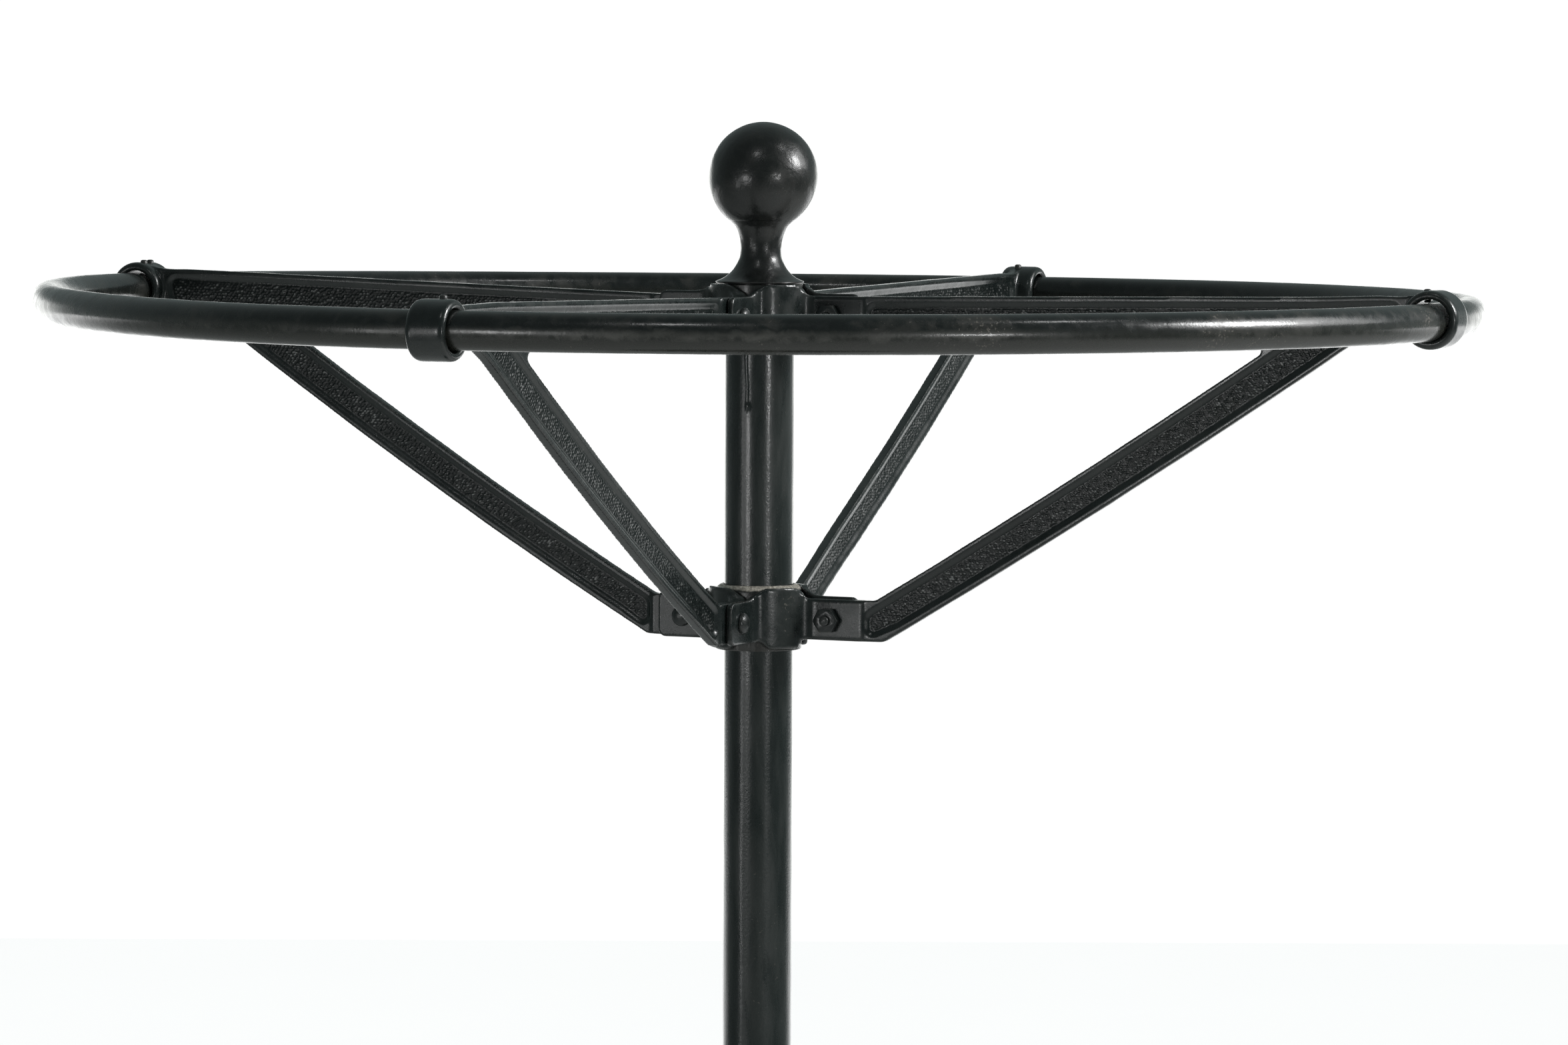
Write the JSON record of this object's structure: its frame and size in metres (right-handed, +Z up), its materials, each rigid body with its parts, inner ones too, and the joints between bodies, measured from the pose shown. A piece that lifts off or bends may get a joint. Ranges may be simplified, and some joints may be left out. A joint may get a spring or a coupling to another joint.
{
  "type": "yarn swift",
  "caption": "Free-standing rotating ring swift: round rail on braced cast brackets that turn about a post with a ball finial and a round foot.",
  "frame": {"origin": "centre of the foot's underside, on the floor", "axes": "+Z up along the post; +Y away from the viewer, +X to the viewer's right; the first bracket is 24 degrees to the left of -Y"},
  "size_m": [1.0068, 1.0068, 1.6313],
  "materials": {
    "enamel_casting": "semi-gloss black-green enamel over cast iron, stippled panels",
    "enamel_tube": "semi-gloss black enamel on steel tube, rubbed and chipped",
    "enamel_finial": "gloss black enamel",
    "worn_bush": "worn brown bronze bearing surface",
    "dark_hardware": "blackened steel fasteners with brown rust",
    "bearing_steel": "polished bearing steel"
  },
  "bodies": {
    "stand": {"foot_casting": "enamel_casting", "post_tube": "enamel_tube", "foot_screw_1": "dark_hardware", "foot_screw_2": "dark_hardware", "foot_screw_3": "dark_hardware", "pivot_plug": "bearing_steel", "thrust_ball": "bearing_steel"},
    "head": {"finial_ball": "enamel_finial", "bearing_cup": "bearing_steel", "upper_bush": "enamel_casting", "lower_bush": "worn_bush", "bracket_front_left": "enamel_casting", "bracket_front_right": "enamel_casting", "bracket_rear_right": "enamel_casting", "bracket_rear_left": "enamel_casting", "ring_rail": "enamel_tube", "ring_joint_plug": "dark_hardware", "ring_screw_front_left": "dark_hardware", "ring_screw_front_right": "dark_hardware", "ring_screw_rear_right": "dark_hardware", "ring_screw_rear_left_a": "dark_hardware", "ring_screw_rear_left_b": "dark_hardware", "upper_bolt_front_left": "dark_hardware", "upper_nut_front_left": "dark_hardware", "upper_bolt_front_right": "dark_hardware", "upper_nut_front_right": "dark_hardware", "upper_bolt_rear_right": "dark_hardware", "upper_nut_rear_right": "dark_hardware", "upper_bolt_rear_left": "dark_hardware", "upper_nut_rear_left": "dark_hardware", "lower_bolt_front_left": "dark_hardware", "lower_nut_front_left": "dark_hardware", "lower_bolt_front_right": "dark_hardware", "lower_nut_front_right": "dark_hardware", "lower_bolt_rear_right": "dark_hardware", "lower_nut_rear_right": "dark_hardware", "lower_bolt_rear_left": "dark_hardware", "lower_nut_rear_left": "dark_hardware"}
  },
  "joints": [
    {"name": "head_spin", "type": "hinge", "parent": "stand", "child": "head", "pos_m": [0, 0, 1.5], "axis": [0, 0, 1], "continuous": true}
  ]
}
